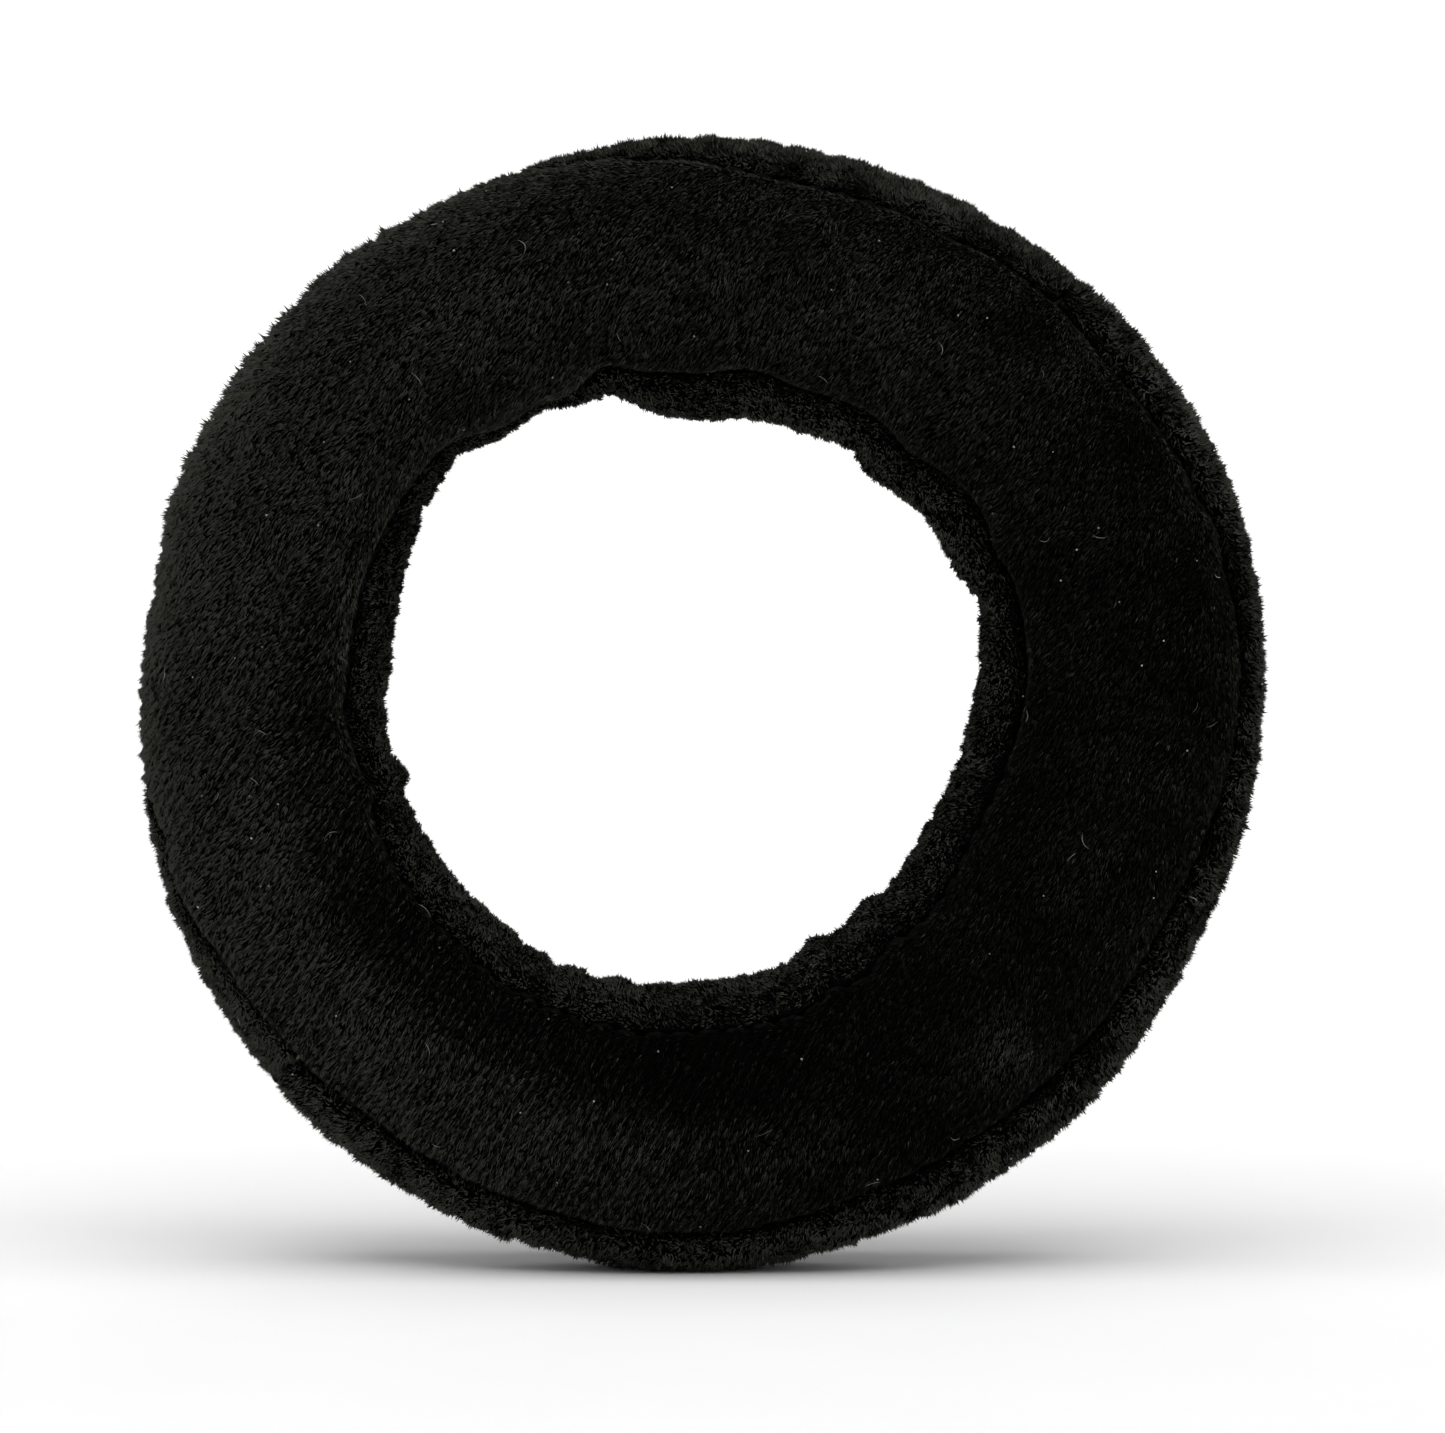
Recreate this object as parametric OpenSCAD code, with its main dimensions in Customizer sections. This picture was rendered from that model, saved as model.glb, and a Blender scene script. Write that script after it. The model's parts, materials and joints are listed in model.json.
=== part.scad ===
// Padded plush scrunchie: a round, stuffed ring of velour-like fabric that stands on its rim.
// The ring's axis runs along Y and its front faces -Y. The floor is z = 0, under the middle.
// Profiles are drawn in one half plane: x is the distance from the ring's axis,
// and y is the distance in front of the ring's middle plane.

/* [Ring] */
// Diameter over the outer rim, in mm
outer_d = 101; // [96:1:112]
// Diameter of the hair opening, in mm
hole_d = 53; // [48:1:56]
// Depth from the front crown to the back crown
ring_depth = 20; // [18:0.5:22]
// How far the rim is pressed flat where it stands
stand_flat = 1.2; // [1:0.1:1.5]

/* [Fabric] */
// Thickness of the fabric with its pile
fabric_t = 1.2; // [1:0.1:1.4]
// Height of each face panel's crown above its seams
crown_h = 2.8; // [2.4:0.1:3.2]
// How far the rim strips bulge beyond the outer seams
rim_roll = 3.4; // [3:0.1:3.8]
// How far the inner band stands inside the inner seams
hole_roll = 3.4; // [3.2:0.1:3.6]
// Width of the inner band's straight wall, along the ring's axis
hole_wall = 9; // [8.5:0.5:9.5]
// Width of the groove that a seam leaves between two pieces of fabric
seam_gap = 0.8; // [0.7:0.1:1]
// Thickness of the sewing thread
thread_d = 0.6; // [0.4:0.1:0.6]

/* [Joins in the strips] */
// Where the rim strips meet at the upper right, in degrees up from +X
rim_join_high = 49; // [40:1:60]
// Where the rim strips meet at the lower left, in degrees up from +X
rim_join_low = 221; // [210:1:230]
// Where the inner band's ends meet, in degrees up from +X
hole_join = 104; // [90:1:120]

/* [Elastic] */
// Width of the elastic
elastic_w = 6; // [5:0.5:7]
// Thickness of the elastic
elastic_t = 0.9; // [0.7:0.1:0.9]
// Length of the overlap where the elastic's ends are sewn together
elastic_lap = 12; // [8:1:14]
// Room between the inner band and the elastic, so that the edge of the hole can give
casing_room = 5.3; // [5:0.1:5.8]
// Clearance between the elastic and the padding round it
elastic_play = 0.35; // [0.3:0.05:0.4]

/* [Hidden] */
$fn = 128;

outer_r = outer_d / 2;
hole_r = hole_d / 2;
half_depth = ring_depth / 2;
ring_centre_z = outer_r - stand_flat;

// The four seams lie on two circles, the same distance in front of and behind the middle plane
rim_seam_r = outer_r - rim_roll;
hole_seam_r = hole_r + hole_roll;
seam_y = half_depth - crown_h;

// Radius of an arc from its chord and its height
function arc_radius(chord, height) = (chord * chord / 4 + height * height) / (2 * height);

crown_r = arc_radius(rim_seam_r - hole_seam_r, crown_h);
crown_centre = [(rim_seam_r + hole_seam_r) / 2, half_depth - crown_r];
rim_r = arc_radius(2 * seam_y, rim_roll);
rim_centre = [outer_r - rim_r, 0];

// The inner band's rounded edges leave its straight wall smoothly and end at the seams
hole_edge_rise = seam_y - hole_wall / 2;
hole_edge_r = (hole_roll * hole_roll + hole_edge_rise * hole_edge_rise) / (2 * hole_roll);
hole_edge_centre = [hole_r + hole_edge_r, hole_wall / 2];

// The elastic lies loose in its casing, between the inner band and the padding
elastic_r = hole_r + fabric_t + casing_room;
lap_r = elastic_r + elastic_t;
lap_angle = elastic_lap / lap_r * 180 / PI;
lap_middle = 270;
// The upper end is a touch narrower, so its edges lie inside those of the end below it
lap_w = elastic_w - 0.4;
elastic_stitches = 5;
elastic_stitch_t = 0.2;
elastic_stitch_w = 0.5;
elastic_stitch_l = elastic_w - 1;
padding_gap = 0.3;
padding_depth = fabric_t + padding_gap;
padding_r = lap_r + elastic_t + elastic_stitch_t + elastic_play;

// Lengths that only have to reach past the solids
reach = 2 * outer_r;
cut_margin = 2;

// Turns a profile into the whole ring, standing upright
module ring() {
    translate([0, 0, ring_centre_z]) rotate([90, 0, 0]) rotate_extrude() children();
}

// Turns a profile into the part of the ring between two angles
module ring_arc(from, to) {
    translate([0, 0, ring_centre_z])
        rotate([90, 0, 0])
            rotate([0, 0, from])
                rotate_extrude(angle = to - from)
                    children();
}

// Keeps what lies above a level
module above(level) {
    intersection() {
        children();
        translate([-reach, -reach, level]) cube(2 * reach);
    }
}

// Keeps the stretch of a profile between two distances from the axis
module between_radii(low, high) {
    intersection() {
        children();
        translate([low, -reach]) square([high - low, 2 * reach]);
    }
}

// Everything behind the front crown, moved inwards by depth
module crown_disc(depth) {
    translate(crown_centre) circle(crown_r - depth);
}

// Everything inside the rim's bulge, moved inwards by depth
module rim_disc(depth) {
    translate(rim_centre) circle(rim_r - depth);
}

// The inner band's outline filled in, moved inwards by depth
module hole_block(depth) {
    translate([hole_r + depth, -hole_wall / 2]) square([hole_roll, hole_wall]);
    for (side = [-1, 1])
        translate([hole_edge_centre.x, side * hole_edge_centre.y]) circle(hole_edge_r - depth);
}

// Profile of the front panel: a crowned wall between the two front seams
module panel_profile() {
    between_radii(hole_seam_r + seam_gap / 2, rim_seam_r - seam_gap / 2)
        intersection() {
            difference() {
                crown_disc(0);
                crown_disc(fabric_t);
            }
            translate([0, seam_y - fabric_t - cut_margin]) square(reach);
        }
}

// One rim strip between two angles. Its wall keeps its thickness where it stands flat.
module rim_strip(from, to) {
    gap_angle = seam_gap / outer_r * 180 / PI;
    difference() {
        above(0)
            ring_arc(from + gap_angle / 2, to - gap_angle / 2)
                between_radii(rim_seam_r + seam_gap / 2, reach)
                    rim_disc(0);
        above(fabric_t)
            ring_arc(from, to)
                between_radii(rim_seam_r, reach)
                    rim_disc(fabric_t);
    }
}

// Sewing thread along one seam circle
module seam_thread(radius, side) {
    ring() translate([radius, side * (seam_y - seam_gap / 2)]) circle(d = thread_d);
}

// Thread across a strip where its ends meet, just below the pile
module join_thread(angle, radius) {
    width_angle = thread_d / radius * 180 / PI;
    ring_arc(angle - width_angle / 2, angle + width_angle / 2) children();
}

module front_panel() {
    color([0.07, 0.07, 0.07]) ring() panel_profile();
}

module back_panel() {
    color([0.07, 0.07, 0.07]) ring() mirror([0, 1]) panel_profile();
}

module rim_strip_left() {
    color([0.09, 0.09, 0.09]) rim_strip(rim_join_high, rim_join_low);
}

module rim_strip_right() {
    color([0.09, 0.09, 0.09]) rim_strip(rim_join_low, rim_join_high + 360);
}

module inner_band() {
    gap_angle = seam_gap / hole_r * 180 / PI;
    color([0.09, 0.09, 0.09])
        ring_arc(hole_join + gap_angle / 2, hole_join + 360 - gap_angle / 2)
            between_radii(0, hole_seam_r - seam_gap / 2)
                difference() {
                    hole_block(0);
                    hole_block(fabric_t);
                }
}

module padding_ring() {
    color([0.9, 0.9, 0.86])
        above(padding_depth)
            ring()
                between_radii(padding_r, reach)
                    intersection() {
                        crown_disc(padding_depth);
                        mirror([0, 1]) crown_disc(padding_depth);
                        rim_disc(padding_depth);
                    }
}

module front_rim_seam() {
    color([0.03, 0.03, 0.03]) seam_thread(rim_seam_r, 1);
}

module back_rim_seam() {
    color([0.03, 0.03, 0.03]) seam_thread(rim_seam_r, -1);
}

module front_hole_seam() {
    color([0.03, 0.03, 0.03]) seam_thread(hole_seam_r, 1);
}

module back_hole_seam() {
    color([0.03, 0.03, 0.03]) seam_thread(hole_seam_r, -1);
}

module rim_join_stitches(angle) {
    color([0.03, 0.03, 0.03])
        join_thread(angle, outer_r)
            between_radii(rim_seam_r + seam_gap / 2, reach)
                difference() {
                    rim_disc(fabric_t / 2);
                    rim_disc(fabric_t);
                }
}

module rim_join_high_stitches() {
    rim_join_stitches(rim_join_high);
}

module rim_join_low_stitches() {
    rim_join_stitches(rim_join_low);
}

module inner_band_join_stitches() {
    color([0.03, 0.03, 0.03])
        join_thread(hole_join, hole_r)
            translate([hole_r + fabric_t / 2, -hole_wall / 2]) square([fabric_t / 2, hole_wall]);
}

module elastic_band() {
    color([0.12, 0.12, 0.13]) {
        ring() translate([elastic_r, -elastic_w / 2]) square([elastic_t, elastic_w]);
        ring_arc(lap_middle - lap_angle / 2, lap_middle + lap_angle / 2)
            translate([lap_r - elastic_t / 2, -lap_w / 2]) square([1.5 * elastic_t, lap_w]);
    }
}

module elastic_join_stitches() {
    stitch_r = lap_r + elastic_t;
    stitch_angle = elastic_stitch_w / stitch_r * 180 / PI;
    step = lap_angle / elastic_stitches;
    color([0.85, 0.85, 0.83])
        for (i = [0 : elastic_stitches - 1]) {
            from = lap_middle - lap_angle / 2 + (i + 0.5) * step - stitch_angle / 2;
            ring_arc(from, from + stitch_angle)
                translate([stitch_r, -elastic_stitch_l / 2]) square([elastic_stitch_t, elastic_stitch_l]);
        }
}

front_panel();
back_panel();
rim_strip_left();
rim_strip_right();
inner_band();
padding_ring();
front_rim_seam();
back_rim_seam();
front_hole_seam();
back_hole_seam();
rim_join_high_stitches();
rim_join_low_stitches();
inner_band_join_stitches();
elastic_band();
elastic_join_stitches();
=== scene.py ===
import json
import math
from dataclasses import dataclass

import bpy
import numpy as np
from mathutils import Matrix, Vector


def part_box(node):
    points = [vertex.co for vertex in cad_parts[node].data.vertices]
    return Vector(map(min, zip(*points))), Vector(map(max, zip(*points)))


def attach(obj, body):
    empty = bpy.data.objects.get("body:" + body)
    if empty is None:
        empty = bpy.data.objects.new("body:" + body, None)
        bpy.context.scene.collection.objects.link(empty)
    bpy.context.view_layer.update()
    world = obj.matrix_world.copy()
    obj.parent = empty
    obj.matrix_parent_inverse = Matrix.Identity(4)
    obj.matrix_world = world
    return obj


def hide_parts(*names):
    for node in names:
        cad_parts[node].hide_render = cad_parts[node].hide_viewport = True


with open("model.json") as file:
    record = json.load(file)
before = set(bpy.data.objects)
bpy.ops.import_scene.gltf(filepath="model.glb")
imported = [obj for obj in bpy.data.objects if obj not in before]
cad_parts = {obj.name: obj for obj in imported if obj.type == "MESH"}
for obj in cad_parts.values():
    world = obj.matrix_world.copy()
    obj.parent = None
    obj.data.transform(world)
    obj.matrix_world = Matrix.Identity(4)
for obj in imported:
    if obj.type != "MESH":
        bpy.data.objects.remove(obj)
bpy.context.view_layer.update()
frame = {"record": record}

MM = 0.001
RANDOM_SEED = 7
TO_FRONT = np.array([0.0, -1.0, 0.0])


# ---------------- sizes read from the frame

def node_box(node):
    """A CAD node's lowest and highest corners, in millimetres."""
    low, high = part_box(node)
    return np.array(low) / MM, np.array(high) / MM


def mount(name):
    """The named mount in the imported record."""
    return next(m for m in frame["record"]["mounts"] if m["name"] == name)


panel_low, panel_high = node_box("front_panel")
thread_low, thread_high = node_box("front_rim_seam")
elastic_low, elastic_high = node_box("elastic_band")

CAD_CENTRE_Z = (panel_low[2] + panel_high[2]) / 2
RIM_R = node_box("rim_strip_right")[1][0]
HOLE_R = mount("hair_opening")["dims"]["r_mm"]
HALF_DEPTH = -panel_low[1]
THREAD_D = thread_high[1] - thread_low[1]
ELASTIC_W = elastic_high[1] - elastic_low[1]
# The elastic is one layer thick at the side and two at the bottom, where its ends overlap
ELASTIC_OUTER_R = elastic_high[0]
LAP_OUTER_R = CAD_CENTRE_Z - elastic_low[2]
FOAM_FLOOR = node_box("padding_ring")[0][2]


# ---------------- smooth noise

NOISE_CELLS = 32
# Moves the middle of the ring away from the edge of the table of noise
NOISE_SHIFT = 57.3
noise_table = np.random.default_rng(RANDOM_SEED).uniform(-1, 1, (NOISE_CELLS,) * 3 + (4,))


def noise(points, wavelength, channel):
    """Smooth noise from -1 to 1 at each point, with lumps about one wavelength across."""
    p = np.asarray(points) / wavelength + NOISE_SHIFT
    low = np.floor(p).astype(int)
    t = p - low
    t = t * t * (3 - 2 * t)
    total = 0
    for corner in range(8):
        bit = np.array([corner & 1, corner >> 1 & 1, corner >> 2 & 1])
        cell = (low + bit) % NOISE_CELLS
        weight = np.prod(np.where(bit, t, 1 - t), axis=-1)
        total = total + weight * noise_table[cell[..., 0], cell[..., 1], cell[..., 2], channel]
    return total


# ---------------- the ring's soft outline

# The cloth lies this far under the outline that the tips of its pile make
PILE_H = 0.25
# How far the soft ring's middle stands above the middle of the CAD ring
FORM_LIFT = 1.0
FORM_CENTRE = np.array([0, 0, CAD_CENTRE_Z + FORM_LIFT])
# The opening's middle, left of and above the ring's middle
HOLE_SHIFT = (-1.45, 1.25)

# (angle, how far the rim stands outside the CAD rim)
RIM_SHAPE = [
    (0, -0.8), (12, -0.3), (30, 0.1), (44, -0.1), (52, -0.5), (68, -0.5), (90, -0.3), (120, -0.1),
    (131, 0.3), (142, 0.0), (158, -0.2), (172, -0.7), (184, -0.4), (200, 0.0), (216, 0.3), (224, 0.6),
    (234, 0.3), (250, 0.3), (270, 0.2), (290, -0.7), (304, -1.0), (320, -1.4), (333, -1.8), (346, -1.4),
]
# (angle, how far the opening's edge stands outside the CAD hole), from the opening's own middle
HOLE_SHAPE = [
    (0, -0.8), (6, -0.2), (18, 0.4), (27, -0.3), (34, -0.2), (42, -0.8), (50, -1.2), (56, -0.8),
    (64, -1.2), (71, -1.8), (78, -1.9), (88, -2.4), (97, -1.5), (104, 0.7), (110, 0.7), (118, 1.4),
    (124, 1.1), (134, 2.2), (144, 1.7), (156, 0.6), (170, -0.1), (190, 0.4), (206, 0.1), (224, 0.0),
    (244, 0.4), (262, 0.1), (274, -0.6), (288, -0.8), (302, -1.4), (318, -1.8), (334, -2.3), (350, -1.5),
]
# (angle, how far a pucker in the inner band stands into the opening, half its width in degrees)
HOLE_PUCKERS = [
    (196, 1.0, 2.6), (227, 0.3, 3.0), (234, 0.3, 2.0), (241, 0.4, 2.2), (248.5, 0.6, 2.4),
    (256, 0.6, 2.6), (265, 0.2, 2.0), (296, 0.8, 3.0), (309, 0.7, 3.5), (26, 0.2, 2.5),
    (181, -0.2, 3.0), (49, 0.2, 2.5),
]
# (angle, how much of the rim strip shows in front). Below zero the seam is behind the crest.
RIM_SEAM_INSET = [
    (0, 1.6), (20, 1.8), (42, 2.6), (50, 1.6), (64, 2.0), (80, 2.0), (96, 0.6), (115, -0.3),
    (180, -0.3), (194, 0.3), (206, 1.5), (220, 3.1), (245, 3.3), (270, 3.4), (312, 3.8), (335, 3.0),
]
# (angle, how much of the inner band shows in front)
HOLE_SEAM_INSET = [
    (0, 2.4), (14, 2.0), (36, 2.8), (50, 2.4), (64, 2.4), (84, 3.3), (94, 3.0), (101, 2.0),
    (108, 0.9), (140, 1.0), (165, 1.9), (190, 1.8), (225, 2.3), (270, 2.6), (310, 3.1), (335, 2.3),
]
# (angle, how deep the seam lies in its groove)
RIM_SEAM_SINK = [(0, 0.8), (60, 0.9), (110, 0.4), (170, 0.4), (220, 0.6), (270, 0.8), (320, 0.8)]
HOLE_SEAM_SINK = [
    (0, 1.3), (40, 1.5), (70, 1.2), (98, 0.9), (115, 0.6), (180, 0.7), (260, 0.4), (325, 0.7),
]
BACK_SEAM_SINK = [(0, 0.7), (180, 0.8)]
# (angle, how much thicker the face is beside the hole than beside the rim)
FACE_SKEW = [(0, 0.05), (60, 0.06), (130, 0.10), (200, 0.22), (250, 0.26), (300, 0.16)]
# How far in from the rim and from the hole the seams at the back are
BACK_SEAM_INSET = 3.0
# How far a seam strays from its smooth line
SEAM_WOBBLE = 0.3
WOBBLE_WAVE = 4.0
# How square the ring's section is: 2 is an ellipse
SECTION_POWER = 2.5

# Cloth cells along the ring and across each of its four zones
CELLS_ROUND = 240
ZONES = {"rim": 12, "front": 14, "band": 10, "back": 14}
ZONE_SAMPLES = 80

# Where strips of plush are joined end to end
RIM_JOIN_HIGH = 49
RIM_JOIN_LOW = 221
BAND_JOIN = 104


def around(points, degrees):
    """Values of a smooth closed curve through (angle, value) pairs."""
    angle, value = np.array(points, float).T
    angle = np.concatenate([angle[-2:] - 360, angle, angle[:2] + 360])
    value = np.concatenate([value[-2:], value, value[:2]])
    slope = np.gradient(value, angle)
    degrees = np.mod(degrees, 360)
    k = np.clip(np.searchsorted(angle, degrees, side="right") - 1, 0, len(angle) - 2)
    span = angle[k + 1] - angle[k]
    t = (degrees - angle[k]) / span
    rise = t * t * (3 - 2 * t)
    leave = t * (1 - t) ** 2 * span * slope[k]
    arrive = t * t * (t - 1) * span * slope[k + 1]
    return value[k] * (1 - rise) + value[k + 1] * rise + leave + arrive


def angle_from(degrees, middle):
    """Signed angle from middle, from -180 to 180."""
    return (degrees - middle + 180) % 360 - 180


def on_ring(degrees):
    """Unit vectors that point outwards in the ring's own plane."""
    a = np.radians(degrees)
    return np.stack([np.cos(a), np.zeros_like(a), np.sin(a)], -1)


def from_axis(points):
    """How far points are from the soft ring's axis."""
    return np.linalg.norm((points - FORM_CENTRE)[..., [0, 2]], axis=-1)


def section_zone(half_width, depth, skew, start, end, cells):
    """Points (across, towards the front) evenly spaced along one zone of a rounded section."""
    phi = np.linspace(start, end, ZONE_SAMPLES)
    c, s = np.cos(phi), np.sin(phi)
    u = np.sign(c) * np.abs(c) ** (2 / SECTION_POWER)
    v = np.sign(s) * np.abs(s) ** (2 / SECTION_POWER)
    points = np.stack([half_width * u, depth * v * (1 - skew * u)], 1)
    step = np.linalg.norm(np.diff(points, axis=0), axis=1)
    length = np.concatenate([[0], np.cumsum(step)])
    at = np.linspace(0, length[-1], cells + 1)
    return np.stack([np.interp(at, length, points[:, k]) for k in range(2)], 1)


def seam_turn(inset, half_width):
    """How far round a section, from its widest point, a seam lies that stands in by an inset."""
    share = (half_width - abs(inset)) / half_width
    return math.copysign(math.acos(share ** (SECTION_POWER / 2)), inset)


def slack_form():
    """The cover before its filling swells it: a closed grid of points, each section's middle and
    the direction from the hole to the rim."""
    degrees = np.arange(CELLS_ROUND) * 360 / CELLS_ROUND
    hole_centre = FORM_CENTRE + [HOLE_SHIFT[0], 0, HOLE_SHIFT[1]]
    out = on_ring(degrees)
    rim = FORM_CENTRE + out * (RIM_R - PILE_H + around(RIM_SHAPE, degrees))[:, None]
    pucker = np.zeros(CELLS_ROUND)
    for angle, height, half_width in HOLE_PUCKERS:
        pucker += height * np.exp(-((angle_from(degrees, angle) / half_width) ** 2))
    hole = hole_centre + out * (HOLE_R + PILE_H + around(HOLE_SHAPE, degrees) - pucker)[:, None]
    middle = (rim + hole) / 2
    across = rim - hole
    width = np.linalg.norm(across, axis=1)
    across = across / width[:, None]
    rim_inset = around(RIM_SEAM_INSET, degrees) + SEAM_WOBBLE * noise(rim, WOBBLE_WAVE, 0)
    hole_inset = around(HOLE_SEAM_INSET, degrees) + SEAM_WOBBLE * noise(hole, WOBBLE_WAVE, 1)
    skew = around(FACE_SKEW, degrees)
    depth = HALF_DEPTH - PILE_H
    grid = np.zeros((CELLS_ROUND, sum(ZONES.values()), 3))
    for i in range(CELLS_ROUND):
        half = width[i] / 2
        back_turn = seam_turn(BACK_SEAM_INSET, half)
        corners = [
            -back_turn,
            seam_turn(rim_inset[i], half),
            math.pi - seam_turn(hole_inset[i], half),
            math.pi + back_turn,
            2 * math.pi - back_turn,
        ]
        rows = []
        for k, cells in enumerate(ZONES.values()):
            zone = section_zone(half, depth, skew[i], corners[k], corners[k + 1], cells)
            rows.append(zone[:-1])
        flat = np.concatenate(rows)
        grid[i] = middle[i] + flat[:, :1] * across[i] + flat[:, 1:] * TO_FRONT
    return grid, middle, across


def smoothed(values, reach=6):
    """A moving average round the ring."""
    return sum(np.roll(values, k) for k in range(-reach, reach + 1)) / (2 * reach + 1)


def fitted(form, slack, middle, across):
    """The swollen form, with its sections drawn back to the width and depth they started from.
    The correction is even round the ring, so small folds stay."""
    out = form.copy()
    u = np.sum((form - middle[:, None]) * across[:, None], 2)
    u_slack = np.sum((slack - middle[:, None]) * across[:, None], 2)
    low, high = u.min(1), u.max(1)
    add_low = smoothed(u_slack.min(1) - low)
    add_high = smoothed(u_slack.max(1) - high)
    share = (u - low[:, None]) / (high - low)[:, None]
    out += (add_low[:, None] * (1 - share) + add_high[:, None] * share)[..., None] * across[:, None]
    front = smoothed(slack[..., 1].min(1) / form[..., 1].min(1))
    back = smoothed(slack[..., 1].max(1) / form[..., 1].max(1))
    out[..., 1] *= np.where(out[..., 1] < 0, front[:, None], back[:, None])
    return out


def seam_columns():
    """The grid columns where two zones are sewn together."""
    return np.cumsum([0] + list(ZONES.values()))[:-1]


# ---------------- meshes

def make_object(name, points, faces, materials, face_slots=None, smooth=True):
    """A mesh object from points in millimetres and an array of faces with equally many corners."""
    mesh = bpy.data.meshes.new(name)
    faces = np.asarray(faces, np.int32)
    corners = faces.shape[1]
    mesh.vertices.add(len(points))
    mesh.vertices.foreach_set("co", (np.asarray(points) * MM).astype(np.float32).ravel())
    mesh.loops.add(faces.size)
    mesh.loops.foreach_set("vertex_index", faces.ravel())
    mesh.polygons.add(len(faces))
    mesh.polygons.foreach_set("loop_start", np.arange(len(faces), dtype=np.int32) * corners)
    mesh.polygons.foreach_set("use_smooth", np.full(len(faces), smooth))
    if face_slots is not None:
        mesh.polygons.foreach_set("material_index", np.asarray(face_slots, np.int32))
    for material in materials:
        mesh.materials.append(material)
    mesh.update(calc_edges=True)
    obj = bpy.data.objects.new(name, mesh)
    bpy.context.scene.collection.objects.link(obj)
    return obj


def grid_faces(rows, columns, closed_rows, closed_columns):
    """Quads of a grid whose points run row by row. They face along the cross product of the row's
    step and the column's step."""
    i = np.arange(rows if closed_rows else rows - 1)
    j = np.arange(columns if closed_columns else columns - 1)
    i, j = (k.ravel() for k in np.meshgrid(i, j, indexing="ij"))
    down, right = (i + 1) % rows, (j + 1) % columns
    return np.stack(
        [i * columns + j, down * columns + j, down * columns + right, i * columns + right], 1
    )


def tube_faces(count, rings, sides, first_cap, last_cap):
    """Faces of many closed tubes that follow each other in one list of points."""
    tube = grid_faces(rings, sides, False, True)
    one = np.concatenate([tube, first_cap, last_cap])
    return (np.arange(count)[:, None, None] * rings * sides + one).reshape(-1, 4)


# ---------------- the filling swells the cover

# The cloth is simulated this many times larger, in the range that its settings suit
SIM_SCALE = 10
SIM_FRAMES = 20
SIM_PRESSURE = 4
# No point moves farther than this
SIM_CAP = 2.2
# How much longer the inner band is than its zone, because it is gathered
BAND_SLACK = 0.10


def swell(grid):
    """Cloth under pressure from inside, held at its seams, with slack in the gathered band."""
    scene = bpy.context.scene
    rows, columns = grid.shape[:2]
    faces = grid_faces(rows, columns, True, True)
    obj = make_object("slack_cover", grid.reshape(-1, 3) * SIM_SCALE, faces, [])
    seams = obj.vertex_groups.new(name="seams")
    seams.add([i * columns + int(j) for i in range(rows) for j in seam_columns()], 1, "REPLACE")
    slack = obj.vertex_groups.new(name="slack")
    band_start = ZONES["rim"] + ZONES["front"]
    band = range(band_start + 1, band_start + ZONES["band"])
    slack.add([i * columns + j for i in range(rows) for j in band], 1, "REPLACE")
    cloth = obj.modifiers.new("Cloth", "CLOTH")
    settings = cloth.settings
    settings.quality = 6
    settings.mass = 0.3
    settings.tension_stiffness = 12
    settings.compression_stiffness = 12
    settings.shear_stiffness = 6
    settings.bending_stiffness = 0.4
    settings.vertex_group_mass = seams.name
    settings.vertex_group_shrink = slack.name
    settings.shrink_min = 0
    settings.shrink_max = -BAND_SLACK
    settings.use_pressure = True
    settings.uniform_pressure_force = SIM_PRESSURE
    settings.effector_weights.gravity = 0
    cloth.collision_settings.use_collision = False
    cloth.collision_settings.use_self_collision = False
    cloth.point_cache.frame_start = 1
    cloth.point_cache.frame_end = SIM_FRAMES
    for f in range(1, SIM_FRAMES + 1):
        scene.frame_set(f)
    shown = obj.evaluated_get(bpy.context.evaluated_depsgraph_get()).to_mesh()
    moved = np.zeros(len(shown.vertices) * 3, np.float32)
    shown.vertices.foreach_get("co", moved)
    scene.frame_set(1)
    mesh = obj.data
    bpy.data.objects.remove(obj)
    bpy.data.meshes.remove(mesh)
    travel = moved.reshape(grid.shape).astype(float) / MM / SIM_SCALE - grid
    length = np.linalg.norm(travel, axis=2)[..., None]
    held = SIM_CAP * np.tanh(length / SIM_CAP) / np.maximum(length, 1e-9)
    return grid + travel * held


def sunk_seams(grid, middle):
    """The grid with its seam columns drawn in towards each section's middle."""
    out = grid.copy()
    degrees = np.arange(CELLS_ROUND) * 360 / CELLS_ROUND
    sinks = (BACK_SEAM_SINK, RIM_SEAM_SINK, HOLE_SEAM_SINK, BACK_SEAM_SINK)
    for j, sink in zip(seam_columns(), sinks):
        inwards = middle - grid[:, j]
        inwards /= np.linalg.norm(inwards, axis=1)[:, None]
        out[:, j] += inwards * around(sink, degrees)[:, None]
    return out


# ---------------- smooth surfaces of the cover

FINE_ROUND = 1800
FINE_ACROSS = {"rim": 72, "front": 84, "band": 60, "back": 84}
# The cloth stays this far above the floor, on its pile
FLOOR_GAP = 0.45
# The height over which it eases into the flat that it stands on
FLOOR_EASE = 0.35


def catmull(values, at):
    """Catmull-Rom interpolation along axis 0. The ends run on in a straight line."""
    ends = (2 * values[:1] - values[1:2], 2 * values[-1:] - values[-2:-1])
    v = np.concatenate([ends[0], values, ends[1]])
    k = np.clip(np.floor(at).astype(int), 0, len(values) - 2)
    t = (at - k).reshape((-1,) + (1,) * (values.ndim - 1))
    a, b, c, d = v[k], v[k + 1], v[k + 2], v[k + 3]
    return 0.5 * (
        2 * b + (c - a) * t + (2 * a - 5 * b + 4 * c - d) * t ** 2 + (3 * (b - c) + d - a) * t ** 3
    )


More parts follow.
